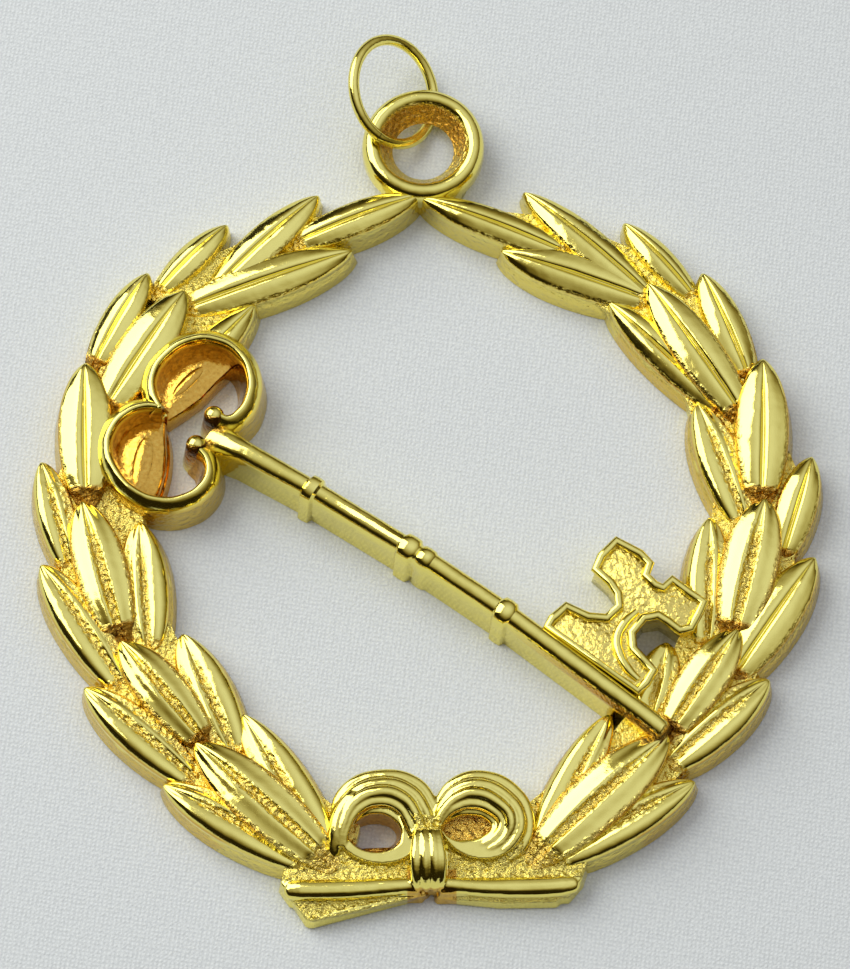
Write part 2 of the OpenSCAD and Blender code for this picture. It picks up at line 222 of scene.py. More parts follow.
def finish(piece, name, levels=0, sharp=40, grained=None, shaded=None):
    """Names a piece, refines and smooths it, and marks where it is grainy and where shade is painted on it.
    """
    only(piece)
    piece.name = piece.data.name = name
    bpy.ops.object.transform_apply(location=True, rotation=True, scale=True)
    if levels:
        rounder = piece.modifiers.new("rounder", "SUBSURF")
        rounder.levels = rounder.render_levels = levels
        bpy.ops.object.modifier_apply(modifier="rounder")
    bpy.ops.object.mode_set(mode="EDIT")
    bpy.ops.mesh.select_all(action="SELECT")
    bpy.ops.mesh.normals_make_consistent(inside=False)
    bpy.ops.object.mode_set(mode="OBJECT")
    bpy.ops.object.shade_smooth_by_angle(angle=math.radians(sharp))
    for kind, share in (("grain", grained), ("painted_shade", shaded)):
        if share:
            marks = piece.data.attributes.new(kind, "FLOAT", "POINT")
            for mark, point in zip(marks.data, piece.data.vertices):
                mark.value = share(point.co / mm)
    piece.data.materials.clear()
    piece.data.materials.append(gilt)


def joined(parts, name):
    """These parts as one object of that name."""
    only(parts)
    bpy.ops.object.join()
    whole = bpy.context.object
    whole.name = whole.data.name = name
    return whole


def hand_over(piece):
    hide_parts("wreath_casting")
    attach(piece, "root")


halves = []
for side in (1, -1):
    # A plane stood up across the band at the top, then extruded and turned round the centre
    first_turn, first_inner, first_outer = band[0]
    only([])
    bpy.ops.mesh.primitive_plane_add(size=1, location=(0, 0, 0))
    half = bpy.context.object
    bpy.ops.object.mode_set(mode="EDIT")
    turn(90, "Y")
    scale(0, (first_outer - first_inner) * mm, ground_height * mm)
    move(0, (first_inner + first_outer) / 2 * mm, ground_height / 2 * mm)
    turn(-side * first_turn)
    for (was, _, _), (now, inner, outer) in zip(band, band[1:]):
        extrude()
        turn(-side * (now - was))
        mesh = bmesh.from_edit_mesh(half.data)
        ring = sorted((v for v in mesh.verts if v.select), key=lambda v: v.co.xy.length)
        for points, reach in ((ring[:2], inner), (ring[2:], outer)):
            share = reach * mm / points[0].co.xy.length
            for point in points:
                point.co.x *= share
                point.co.y *= share
        bmesh.update_edit_mesh(half.data)
    bpy.ops.object.mode_set(mode="OBJECT")
    halves.append(half)
ground = joined(halves, "casting_ground")
bpy.ops.object.mode_set(mode="EDIT")
bpy.ops.mesh.select_all(action="SELECT")
bpy.ops.mesh.remove_doubles(threshold=0.02 * mm)
bpy.ops.mesh.select_all(action="SELECT")
move(*centre)
finish(ground, "casting_ground", grained=lambda p: float(p.z > ground_height - 0.1))
hand_over(ground)


# The laurel leaves
# Sprays of pointed leaves, each with two rounded crests along a sunk, grainy middle. They are
# cast with the ground and polished on top, so their walls run down to the flat back.
# The pattern leaf: its length and width, the height of its edge, how far its crests stand
# over that, and how far its ends lie below its middle
leaf_length = 13
leaf_width = 4.2
leaf_edge = 3.0
leaf_rise = 0.65
leaf_arch = 0.65
# Along the leaf, stem to tip, as shares: place, width, ridge height, how much wider the sunk
# middle is there, and how much of it is filled up. Behind the stem lies a small rough hollow
leaf_rows = [
    (-0.09, 0.22, 0.10, 1.2, 0), (-0.045, 0.40, 0.00, 1.2, 0), (0.00, 0.54, 0.36, 1.2, 0),
    (0.05, 0.69, 0.80, 1.2, 0), (0.18, 0.89, 0.96, 1.15, 0), (0.36, 1.00, 1.00, 1.05, 0),
    (0.55, 1.00, 1.02, 0.9, 0), (0.72, 0.88, 1.00, 0.75, 0.2), (0.87, 0.62, 0.94, 0.6, 0.6),
    (0.96, 0.34, 0.82, 0.5, 0.9), (1.00, 0.07, 0.50, 0.5, 1)]
# Across the leaf from its middle to its edge: place and height as shares. The crest stands on
# a flatter skirt, beside a thin vein or a narrow field
by_vein = [
    (0.04, 0.66), (0.12, 1.06), (0.28, 1.14), (0.50, 0.97), (0.68, 0.72), (0.82, 0.54),
    (0.92, 0.28), (1.0, 0)]
by_field = [
    (0.10, 0.46), (0.17, 0.94), (0.26, 1.12), (0.42, 0.94), (0.58, 0.66), (0.72, 0.50),
    (0.85, 0.40), (0.93, 0.22), (1.0, 0)]
# A side leaf, from its right edge to its left, has its main crest away from the middle leaves
side_crest = [
    (-1.0, 0), (-0.93, 0.22), (-0.84, 0.36), (-0.64, 0.38), (-0.50, 0.62), (-0.36, 0.90),
    (-0.22, 0.72), (-0.12, 0.36), (-0.02, 0.38), (0.08, 0.74), (0.26, 1.00), (0.46, 1.12),
    (0.62, 1.05), (0.78, 0.79), (0.90, 0.42), (1.0, 0)]


def turned_over(columns):
    return [(-out, high) for out, high in reversed(columns)]


def within(value):
    """The value, held between 0 and 1."""
    return max(0, min(1, value))


def edge_height(along):
    """Height of a leaf's edge, lowest at the stem and highest near its middle."""
    return leaf_edge + 0.5 * leaf_rise * (along - 0.5) - 4 * leaf_arch * (along - 0.45) ** 2


def pattern_leaf(name, field_middle, field_half, hollow_shade, columns):
    """One leaf with its stem at the origin and its tip along x. Its grain lies in its sunk field, on its
    skirt, in the hollow behind its stem and on its wall; painted shade darkens its field, that hollow, its
    wall and its edge."""
    only([])
    bpy.ops.mesh.primitive_grid_add(
        x_subdivisions=len(leaf_rows) - 1, y_subdivisions=len(columns) - 1, size=2)
    leaf = bpy.context.object
    bpy.ops.object.mode_set(mode="EDIT")
    # The grid is built up 10 above the origin and 9 towards the tip, clear of the rows and
    # columns that still wait for their place
    for k, (out, high) in enumerate(columns):
        was = -1 + 2 * k / (len(columns) - 1)
        pick(lambda p: abs(p.y - was) < 0.01 and p.z == 0)
        move(0, out - was, 10 + high)
    for k, (along, wide, high, spread, filled) in enumerate(leaf_rows):
        was = -1 + 2 * k / (len(leaf_rows) - 1)
        pick(lambda p: abs(p.x - was) < 0.01 and abs(p.y) < 0.25)
        scale(y=spread, z=1 - filled, about=(0, 0, 11.1))
        pick(lambda p: abs(p.x - was) < 0.01)
        scale(y=wide, z=high, about=(0, 0, 10))
        move(2 * along + 9 - was, 0, (edge_height(along) - leaf_edge) / leaf_rise)
    bpy.ops.mesh.select_all(action="SELECT")
    move(-9, 0, -10)
    scale(leaf_length / 2 * mm, leaf_width / 2 * mm, leaf_rise * mm)
    move(0, 0, leaf_edge * mm)
    # The wall, with a short upright part on top
    bpy.ops.mesh.region_to_loop()
    extrude(z=-0.4 * mm)
    extrude(z=-1 * mm)
    scale(z=0)
    scale(1.05, 1.2, about=(leaf_length / 2 * mm, 0, 0))
    bpy.ops.mesh.edge_face_add()
    bpy.ops.transform.edge_crease(value=1)
    bpy.ops.object.mode_set(mode="OBJECT")
    # The stem end is rounded in plan
    stem_reach = 1.5 * mm
    for point in leaf.data.vertices:
        if point.co.x < stem_reach:
            middle = max(0, 1 - (point.co.y / (0.42 * leaf_width * mm)) ** 2)
            point.co.x -= 0.4 * middle * (stem_reach - max(0, point.co.x))

    def across(p):
        """Place across the leaf as a share of its width there."""
        along = within(p.x / leaf_length)
        return 2 * p.y / leaf_width / max(0.1, min(1, 0.62 + 1.2 * along, 2.1 * (1 - along) ** 0.6))

    def towards_stem(p):
        """The grain fades out towards the tip."""
        return (p.z > 1.8) * within(4.3 - 5.2 * p.x / leaf_length)

    def in_field(p):
        """How far a place lies in the sunk field."""
        return towards_stem(p) * within(1.8 - abs(across(p) - field_middle) / field_half)

    def on_skirt(p):
        """How far a place lies on the flatter skirt beside the crest."""
        past = abs(across(p)) - 0.78
        if field_middle:
            past = math.copysign(1, field_middle) * across(p) - 0.5
        return (1 if field_half > 0.1 else 0.4) * towards_stem(p) * within(12 * past)

    def at_stem(p):
        """How far a place lies in the hollow behind the stem."""
        return within(1.6 - p.x / (0.02 * leaf_length)) * (p.z > 1)

    def on_wall(p):
        return float(p.z < 2.2)

    def at_edge(p):
        """1 on the leaf's edge, 0 at 0.28 mm over or under it."""
        return max(0, 1 - abs(p.z - edge_height(p.x / leaf_length)) / 0.28)

    def leaf_grain(p):
        field_grain = in_field(p) * (field_half > 0.1)
        return max(field_grain, 0.8 * on_skirt(p), at_stem(p), 0.3 * on_wall(p))

    # Painted shade: light in the field, dark in the stem hollow, on the wall, and a dark line along the edge
    def leaf_shade(p):
        return max(0.12 * in_field(p), hollow_shade * at_stem(p), 0.3 * on_wall(p), 0.6 * at_edge(p))

    finish(leaf, name, levels=2, grained=leaf_grain, shaded=leaf_shade)
    return leaf


# Kinds of leaf: middle and half width of the field, painted shade of the hollow, columns
leaf_kinds = {
    "smooth_leaf": (0, 0.03, 0.72, turned_over(by_vein) + [(0, 0.58)] + by_vein),
    "veined_leaf": (0, 0.14, 0.72, turned_over(by_field) + [(0, 0.48)] + by_field),
    "left_crest_leaf": (-0.07, 0.12, 0.2, side_crest),
    "right_crest_leaf": (0.07, 0.12, 0.2, turned_over(side_crest))}
leaf_patterns = {name: pattern_leaf(name, *traits) for name, traits in leaf_kinds.items()}

# Each leaf: tip, stem, width, lift and outward tilt in degrees, on the left and on the right
sprays = {
    "left_laurel_spray": [
        ((-0.4, 28.4), (-12.1, 23.8), 3.1, 0.4, 0), ((-10.3, 28.7), (-20.3, 19.2), 3.4, 0.1, 8),
        ((-7.0, 22.7), (-22.7, 17.1), 3.7, 0.1, -6), ((-19.2, 25.8), (-25.7, 19.2), 2.7, -0.2, 8),
        ((-23.2, 18.5), (-30.5, 7.0), 4.3, 0.9, 0), ((-16.4, 17.3), (-26.5, 5.7), 3.3, 0, -6),
        ((-26.9, 20.8), (-31.9, 11.7), 3.1, -0.1, 8), ((-32.8, 11.1), (-32.6, -2.0), 4.6, 0.9, 4),
        ((-26.5, 6.8), (-27.6, -3.4), 3.8, 0, -6), ((-36.9, 1.3), (-34.2, -8.9), 3.2, 0, 4),
        ((-32.9, -3.0), (-29.3, -15.8), 4.4, 0.9, 0), ((-27.4, -4.9), (-26.3, -17.2), 4.0, 0, -6),
        ((-36.8, -9.1), (-29.2, -20.9), 3.8, 0, 4), ((-29.1, -17.1), (-21.5, -26.5), 4.0, 0.9, 0),
        ((-23.3, -16.2), (-18.2, -27.7), 4.0, 0, -6), ((-32.5, -21.4), (-22.4, -30.3), 3.7, 0, 3),
        ((-22.0, -27.2), (-10.3, -38.0), 4.6, 0.9, 0), ((-17.6, -24.2), (-9.6, -37.5), 4.0, 0, -6),
        ((-25.0, -31.0), (-12.2, -38.4), 3.7, 0, 3)],
    "right_laurel_spray": [
        ((-0.2, 28.1), (13.4, 22.4), 2.9, 0.4, 0), ((9.8, 28.8), (21.6, 18.1), 3.2, 0.1, 8),
        ((7.4, 22.5), (21.3, 17.4), 3.7, 0.1, -6), ((19.5, 25.5), (25.9, 18.0), 2.6, -0.2, 8),
        ((21.6, 18.7), (29.9, 5.7), 4.0, 0.9, 0), ((17.7, 17.1), (28.2, 6.1), 3.1, 0, -6),
        ((27.0, 20.1), (31.0, 9.7), 3.3, -0.1, 8), ((32.5, 10.7), (31.9, -2.8), 4.5, 0.9, 4),
        ((26.0, 6.6), (29.9, -5.4), 3.8, 0, -6), ((36.9, 0.9), (33.8, -8.7), 3.4, 0, 4),
        ((32.2, -3.5), (28.9, -16.3), 4.8, 0.9, 0), ((26.9, -5.1), (26.0, -17.6), 3.7, 0, -6),
        ((36.8, -9.3), (28.9, -20.6), 4.1, 0, 4), ((29.2, -16.6), (22.7, -26.0), 4.0, 0.9, 0),
        ((22.5, -17.6), (20.2, -25.4), 3.7, 0, -6), ((32.0, -21.4), (22.6, -29.4), 3.8, 0, 3),
        ((22.3, -27.0), (10.5, -37.8), 4.8, 0.9, 0), ((16.9, -24.6), (10.1, -36.9), 3.5, 0, -6),
        ((24.7, -31.3), (11.9, -38.4), 3.7, 0, 3)],
}
# Inside the key's two round lobes the leaves were left low in the pattern: the lobes' middles,
# how far that reaches from them, and the height over which it holds
lobe_middles = [(-21.4, 8.5), (-25.6, 1.3)]
low_reaches = [4.2, 4.4]
low_height = 1.5
for name, chart in sprays.items():
    outwards = 1 if name.startswith("left") else -1
    laid = []
    for number, (tip, stem, wide, lift, tilt) in enumerate(chart):
        # The lifted middle leaves and those at the top and far right have two even crests
        kind = "left_crest_leaf" if tilt * outwards > 0 else "right_crest_leaf"
        if lift > 0.3 or tip[1] > 14 or tip[0] > 35:
            kind = "smooth_leaf" if tip[1] > 0 or tip[0] > 35 else "veined_leaf"
        only(leaf_patterns[kind])
        bpy.ops.object.duplicate()
        leaf = bpy.context.object
        bpy.ops.object.mode_set(mode="EDIT")
        pick(lambda p: p.z > 1.8 * mm)
        turn(-tilt * outwards, "X", about=(0, 0, 3.2 * mm))
        move(0, 0, lift * mm)
        # The hollow behind a lifted stem lies lower; beside the ribbon bow it is filled up
        pick(lambda p: p.x < (0.3 if stem[1] < -37 else -0.1) * mm and p.z > 1.8 * mm)
        move(0, 0, -0.35 * max(0, lift) * mm)
        # The walls start a hair above the back, each leaf at its own height, so that no two
        # of their undersides share a plane
        pick(lambda p: p.z < 0.2 * mm)
        move(0, 0, (0.02 + 0.006 * number) * mm)
        bpy.ops.object.mode_set(mode="OBJECT")
        run = Vector(tip) - Vector(stem)
        scale(run.length / leaf_length, 1.16 * wide / leaf_width)
        turn(math.degrees(math.atan2(run.y, run.x)))
        move(stem[0] * mm, stem[1] * mm)
        laid.append(leaf)
    spray = joined(laid, name)
    bpy.ops.object.transform_apply(location=True, rotation=True, scale=True)
    shade_marks = spray.data.attributes["painted_shade"].data
    roughness = spray.data.attributes["grain"].data
    for point in spray.data.vertices:
        # At the top of the wreath and beside the bow the hollows get less painted shade
        if not -36.8 * mm < point.co.y < 14 * mm:
            shade_marks[point.index].value *= 0.3
    # Under the lobes the leaves are flattened and get an even painted shade without grain
    for middle, reach in zip(lobe_middles, low_reaches):
        for point in spray.data.vertices:
            if (point.co.xy / mm - Vector(middle)).length < reach:
                if point.co.z > low_height * mm:
                    point.co.z = (low_height + 0.3 * (point.co.z / mm - low_height)) * mm
                shade_marks[point.index].value = 0.55
                roughness[point.index].value = 0
    hand_over(spray)
for leaf in leaf_patterns.values():
    bpy.data.objects.remove(leaf)


# The ribbon bow
# A bow of ribbed ribbon ties the sprays at the foot: two loops, the left one pierced, two tails
# with a smooth rolled ridge over a grainy face, and a fluted knot, all cast with the wreath.
def outline(corners):
    """A filled outline with a corner at each point, in mm: a circle pulled to shape, in edit mode."""
    only([])
    bpy.ops.mesh.primitive_circle_add(vertices=len(corners), radius=mm, fill_type="NGON")
    made = bpy.context.object
    for point, corner in zip(made.data.vertices, corners):
        point.co = Vector(corner).to_3d() * mm
    bpy.ops.object.mode_set(mode="EDIT")
    bpy.ops.mesh.select_all(action="SELECT")
    return made


def strand(points, closed=False, corners=False, section=None):
    """Metal drawn out along points (x, y, z, half thickness), in mm: round, or of a section given
    as (out to the right, up)."""
    only([])
    bpy.ops.curve.primitive_bezier_curve_add(radius=mm)
    made = bpy.context.object
    bpy.ops.object.mode_set(mode="EDIT")
    bpy.ops.curve.select_all(action="SELECT")
    if len(points) > 2:
        bpy.ops.curve.subdivide(number_cuts=len(points) - 2)
    if closed:
        bpy.ops.curve.cyclic_toggle()
    bpy.ops.object.mode_set(mode="OBJECT")
    for knot, (x, y, z, thick) in zip(made.data.splines[0].bezier_points, points):
        knot.handle_left_type = knot.handle_right_type = "VECTOR" if corners else "AUTO"
        knot.co = (x * mm, y * mm, z * mm)
        knot.radius = thick
    made.data.resolution_u = 1 if corners else 8
    made.data.use_fill_caps = not closed
    if section:
        profile = outline(section)
        bpy.ops.mesh.delete(type="ONLY_FACE")
        only(profile)
        bpy.ops.object.convert(target="CURVE")
        made.data.twist_mode = "Z_UP"
        made.data.bevel_mode = "OBJECT"
        made.data.bevel_object = profile
    else:
        made.data.bevel_depth = mm
        made.data.bevel_resolution = 4
    only(made)
    bpy.ops.object.convert(target="MESH")
    bpy.ops.object.mode_set(mode="EDIT")
    bpy.ops.mesh.select_all(action="SELECT")
    bpy.ops.mesh.remove_doubles(threshold=0.001 * mm)
    bpy.ops.object.mode_set(mode="OBJECT")
    if section:
        bpy.data.objects.remove(profile)
    return bpy.context.object


def slab(corners, height, draft=0.5, soft=0.15):
    """A plate with that outline on top, walls that spread down to the back, and softened edges."""
    made = outline(corners)
    move(z=height * mm)
    extrude(z=-height * mm)
    middle = [sum(c[k] for c in corners) / len(corners) for k in (0, 1)]
    reach = [max(abs(c[k] - middle[k]) for c in corners) for k in (0, 1)]
    scale(1 + draft / reach[0], 1 + draft / reach[1], about=(middle[0] * mm, middle[1] * mm, 0))
    bpy.ops.object.mode_set(mode="OBJECT")
    rounded = made.modifiers.new("soft_edges", "BEVEL")
    rounded.width = soft * mm
    rounded.segments = 2
    bpy.ops.object.modifier_apply(modifier="soft_edges")
    return made


def ring_wall(hole_foot, hole_top, rim, height):
    """A plate round a hole. Each outline is an ellipse: middle x and y, half width, half height."""
    only([])
    bpy.ops.mesh.primitive_circle_add(vertices=40, radius=1, fill_type="NOTHING")
    made = bpy.context.object
    bpy.ops.object.mode_set(mode="EDIT")
    bpy.ops.mesh.select_all(action="SELECT")
    scale(hole_foot[2] * mm, hole_foot[3] * mm)
    move(hole_foot[0] * mm, hole_foot[1] * mm)
    last = hole_foot
    rim_foot = rim[:2] + (rim[2] + 0.5, rim[3] + 0.5)
    for shape, up in ((hole_top, height), (rim, 0), (rim_foot, -height)):
        extrude(z=up * mm)
        scale(shape[2] / last[2], shape[3] / last[3], about=(last[0] * mm, last[1] * mm, 0))
        move((shape[0] - last[0]) * mm, (shape[1] - last[1]) * mm)
        last = shape
    pick(lambda p: p.z < 0.01 * mm)
    bpy.ops.mesh.bridge_edge_loops()
    bpy.ops.object.mode_set(mode="OBJECT")
    return made


# The pierced left loop and the closed right one: plates under the ribs
plates = [
    ring_wall((-5.3, -35.6, 2.0, 1.25), (-5.1, -36.0, 2.7, 2.0), (-4.6, -35.0, 4.5, 4.0), 3.5),
    ring_wall((3.4, -35.6, 0.05, 0.05), (3.4, -35.6, 0.1, 0.1), (4.9, -35.0, 4.3, 4.0), 2.7),
    ring_wall((3.4, -35.6, 1.9, 1.1), (3.5, -35.6, 2.5, 1.6), (4.9, -34.9, 4.1, 3.8), 3.6)]
# Ribs of the left loop, outermost first, from its foot over the top to the knot
left_ribs = [
    [(-9.2, -37.7, 2.6, 0.32), (-9.1, -35.1, 3.0, 0.42), (-7.9, -31.85, 3.1, 0.62), (-4.4, -30.6, 3.15, 0.72),
     (-1.3, -31.4, 3.2, 0.66), (0.1, -33.3, 3.3, 0.55), (0.7, -35.2, 3.3, 0.4)],
    [(-8.8, -37.5, 3.0, 0.32), (-8.6, -35.3, 3.6, 0.42), (-7.45, -32.65, 3.75, 0.6), (-4.5, -31.5, 3.8, 0.68),
     (-1.9, -32.3, 3.85, 0.62), (-0.6, -34.0, 3.85, 0.5), (0.0, -35.6, 3.6, 0.4)],
    [(-8.5, -37.3, 3.3, 0.32), (-8.2, -35.6, 4.0, 0.42), (-7.1, -33.4, 4.2, 0.58), (-4.7, -32.4, 4.3, 0.66),
     (-2.5, -33.1, 4.3, 0.6), (-1.4, -34.6, 4.25, 0.48), (-0.8, -36.0, 4.0, 0.4)],
    [(-8.1, -37.3, 3.3, 0.32), (-7.85, -35.8, 3.8, 0.4), (-6.8, -34.0, 3.95, 0.52), (-4.9, -33.2, 4.0, 0.58),
     (-3.0, -33.8, 4.0, 0.52), (-2.1, -35.2, 3.9, 0.42), (-1.6, -36.6, 3.7, 0.36)]]
# Towards its left foot the ribs run together into one smooth bend
left_bend = [
    (-9.0, -38.6, 1.6, 0.4), (-9.1, -37.6, 2.4, 0.8), (-8.7, -36.2, 3.1, 1.0), (-8.2, -34.2, 3.6, 1.0),
    (-7.2, -32.7, 3.8, 0.7), (-6.2, -32.0, 3.6, 0.3)]
left_hole_lip = [
    (-7.9, -36.4, 3.35, 0.3), (-6.8, -34.6, 3.4, 0.34), (-5.1, -34.0, 3.45, 0.36), (-3.4, -34.6, 3.4, 0.34),
    (-2.5, -36.1, 3.3, 0.34), (-3.2, -37.6, 2.9, 0.4), (-4.9, -38.3, 2.8, 0.45), (-6.8, -38.0, 2.9, 0.4)]
# Ribs of the right loop, from the knot over the top and round to its foot
right_ribs = [
    [(0.4, -34.4, 3.2, 0.4), (0.95, -32.8, 3.2, 0.5), (2.3, -31.3, 3.15, 0.6), (4.5, -30.75, 3.1, 0.7),
     (7.6, -32.0, 3.1, 0.66), (9.1, -35.1, 3.0, 0.6), (8.4, -37.5, 2.8, 0.5), (6.8, -38.7, 2.5, 0.42),
     (5.0, -39.3, 2.0, 0.35)],
    [(0.5, -34.8, 3.5, 0.4), (1.2, -33.4, 3.7, 0.48), (2.4, -32.2, 3.8, 0.58), (4.3, -31.7, 3.85, 0.66),
     (6.9, -32.8, 3.85, 0.62), (8.3, -35.2, 3.75, 0.55), (7.6, -37.1, 3.5, 0.46), (6.1, -38.2, 3.1, 0.4),
     (4.4, -38.8, 2.2, 0.35)],
    [(0.6, -35.1, 3.7, 0.36), (1.3, -34.0, 3.95, 0.44), (2.3, -33.1, 4.1, 0.52), (4.0, -32.6, 4.2, 0.6),
     (6.2, -33.5, 4.2, 0.56), (7.4, -35.2, 4.1, 0.5), (6.8, -36.8, 3.6, 0.42), (5.3, -37.8, 3.3, 0.38),
     (3.6, -38.3, 2.4, 0.33)],
    [(0.8, -35.4, 3.5, 0.3), (1.5, -34.4, 3.7, 0.4), (2.4, -33.8, 3.8, 0.48), (3.8, -33.5, 3.85, 0.52),
     (5.6, -34.1, 3.85, 0.5), (6.6, -35.3, 3.75, 0.46), (6.0, -36.6, 3.55, 0.4), (4.6, -37.4, 3.3, 0.36),
     (2.9, -37.8, 2.7, 0.33)]]
right_pocket_lip = [
    (0.9, -35.7, 3.1, 0.32), (2.0, -34.5, 3.3, 0.34), (3.7, -34.2, 3.4, 0.36), (5.3, -34.7, 3.4, 0.36),
    (5.9, -35.7, 3.35, 0.36), (5.0, -36.8, 3.3, 0.4), (3.4, -37.2, 3.2, 0.42), (1.7, -36.9, 3.1, 0.36)]
ribs = [strand(path) for path in left_ribs + [left_bend]]
ribs.append(strand(left_hole_lip, closed=True))
ribs += [strand(path) for path in right_ribs]
ribs.append(strand(right_pocket_lip, closed=True))
# Tails: a grainy face, and below it the thin layer that shows under the ridge
tail_height = 2.6
left_face = [(-1.2, -37.2), (-9.6, -37.4), (-13.6, -38.6), (-14.0, -40.6), (-13.0, -41.9), (-1.2, -41.6)]
left_layer = [(-0.6, -41.0), (-12.8, -41.0), (-13.0, -42.0), (-11.6, -43.9), (-11.0, -44.0), (-0.6, -41.7)]
right_face = [(0.8, -37.4), (0.8, -41.7), (12.6, -41.8), (13.9, -40.5), (14.6, -38.6), (12.8, -37.6)]
right_layer = [(0.5, -41.2), (0.5, -41.9), (6.3, -42.4), (11.4, -42.4), (13.0, -41.4), (13.2, -40.8)]
faces = [
    slab(left_face, tail_height), slab(left_layer, 1.7, draft=0.4),
    slab(right_face, tail_height), slab(right_layer, 1.5, draft=0.35)]
# Rolled ridges along the tails, a lip on the left thin layer, and the block of the knot
rolls = [
    strand([
        (-13.7, -41.0, 1.9, 0.3), (-13.3, -41.1, 2.0, 0.85), (-12.2, -41.15, 2.05, 1.05),
        (-8, -41.15, 2.1, 1.02), (-4.5, -41.0, 2.2, 0.9), (-1.5, -40.8, 2.3, 0.75)]),
    strand([
        (13.7, -40.5, 1.9, 0.3), (13.2, -40.8, 2.0, 0.85), (12.0, -41.0, 2.05, 1.05),
        (8, -41.15, 2.1, 1.02), (4.5, -41.1, 2.2, 0.9), (1.2, -40.8, 2.3, 0.75)]),
    strand([
        (-11.3, -43.9, 1.65, 0.22), (-8.5, -43.2, 1.65, 0.26), (-4.8, -42.4, 1.65, 0.26),
        (-1.4, -41.7, 1.65, 0.2)]),
    slab([(-1.7, -41.0), (-1.3, -35.3), (0.8, -35.3), (1.2, -41.0)], 3.4, draft=0.4, soft=0.5)]
# Flutes of the knot: place at the top and at the foot, half thickness
for top, foot, thick in ((-1.3, -1.5, 0.5), (-0.65, -0.6, 0.62), (0.1, 0.3, 0.6), (0.65, 0.95, 0.46)):
    rolls.append(strand([
        (top, -35.4, 3.3, 0.3), (top, -36.3, 4.05, thick * 0.85), ((top + foot) / 2, -37.7, 4.5, thick),
        (foot, -39.0, 4.4, thick * 1.05), (foot, -40.2, 3.6, thick * 1.0),
        (foot * 0.9, -41.0, 2.7, thick * 0.8), (foot * 0.8, -41.3, 2.1, thick * 0.5)]))
ribbon = joined(plates + ribs + faces + rolls, "ribbon_bow")
# In the casting all of this ran together, with soft corners
run_together = ribbon.modifiers.new("run_together", "REMESH")
run_together.mode = "VOXEL"
run_together.voxel_size = 0.12 * mm
bpy.ops.object.modifier_apply(modifier="run_together")
softened = ribbon.modifiers.new("softened", "SMOOTH")
softened.factor = 0.5
softened.iterations = 5
bpy.ops.object.modifier_apply(modifier="softened")
for point in ribbon.data.vertices:
    if point.co.z < 0.08 * mm:
        point.co.z = 0.02 * mm


def in_ellipse(p, x, y, half_width, half_height):
    return ((p.x - x) / half_width) ** 2 + ((p.y - y) / half_height) ** 2 < 1


def bow_grain(p):
    """1 where the mould's grain is left on the bow: its tails, pocket and the patch over the knot."""
    on_face = -40.3 < p.y < -37.3 and 2.3 < p.z < 2.85
    on_thin_layer = p.y < -41.3 and (1.56 if p.x < 0 else 1.36) < p.z < 1.85
    on_tail = abs(p.x) > 1.9 and (on_face or on_thin_layer)
    in_pocket = in_ellipse(p, 3.5, -35.6, 2.7, 1.8) and p.z < 3.3
    under_loop = -40.2 < p.y < -36.6 and 1.6 < abs(p.x) < 8.5 and p.z < 3.35
    over_knot = abs(p.x + 0.3) < 1.2 and -36.1 < p.y < -34.7
    return float(on_tail or in_pocket or under_loop or over_knot) if p.z > 1 else 0


def bow_shade(p):
    """How much painted shade a place on the bow gets: in the holes and beside the knot."""
    in_hole = in_ellipse(p, 3.5, -35.6, 2.9, 2) or in_ellipse(p, -5.2, -35.9, 2.8, 2.1)
    by_knot = abs(p.x) < 2.3 and p.y < -39.5 and p.z < 2.9
    return max((0.36 if p.x > 0 else 0.6) * (in_hole and p.z < 3.4), 0.5 * by_knot)


finish(ribbon, "ribbon_bow", sharp=60, grained=bow_grain, shaded=bow_shade)
hand_over(ribbon)


# The hanging eye
# A round eye stands off the top of the wreath, its rim rounded by polishing and its bore left
# grainy, and it flows into the two top leaves.
eye_middle = Vector((0, 33.78))
# Its section: place out from its middle, and height
eye_section = [
    (3.0, 1.5), (3.2, 1.75), (3.7, 2.6), (4.1, 3.3), (4.4, 3.75), (4.7, 3.95), (5.0, 4.0), (5.35, 3.9),
    (5.7, 3.6), (5.92, 3.1), (6.0, 2.4), (6.0, 1.5)]
ring_body = outline([(r, eye_middle.y, z) for r, z in eye_section])
bpy.ops.mesh.delete(type="ONLY_FACE")
bpy.ops.mesh.select_all(action="SELECT")
bpy.ops.mesh.spin(
    steps=96, angle=math.radians(360), center=eye_middle.to_3d() * mm, axis=(0, 0, 1))
bpy.ops.mesh.select_all(action="SELECT")
bpy.ops.mesh.remove_doubles(threshold=0.002 * mm)


def in_bore(p):
    return float((p.xy - eye_middle).length < 4.3 and p.z < 3.5)


# The bore is grainy and gets painted shade, darker towards its far side
finish(ring_body, "eye", grained=in_bore, shaded=lambda p: in_bore(p) * 0.55 * within((p.y - 31) / 4))
web = slab([(-2.6, 28.2), (2.6, 28.2), (3.8, 29.6), (-3.8, 29.6)], 2.5)
finish(web, "web", grained=lambda p: 0, shaded=lambda p: 0)
hand_over(joined([ring_body, web], "hanging_eye"))


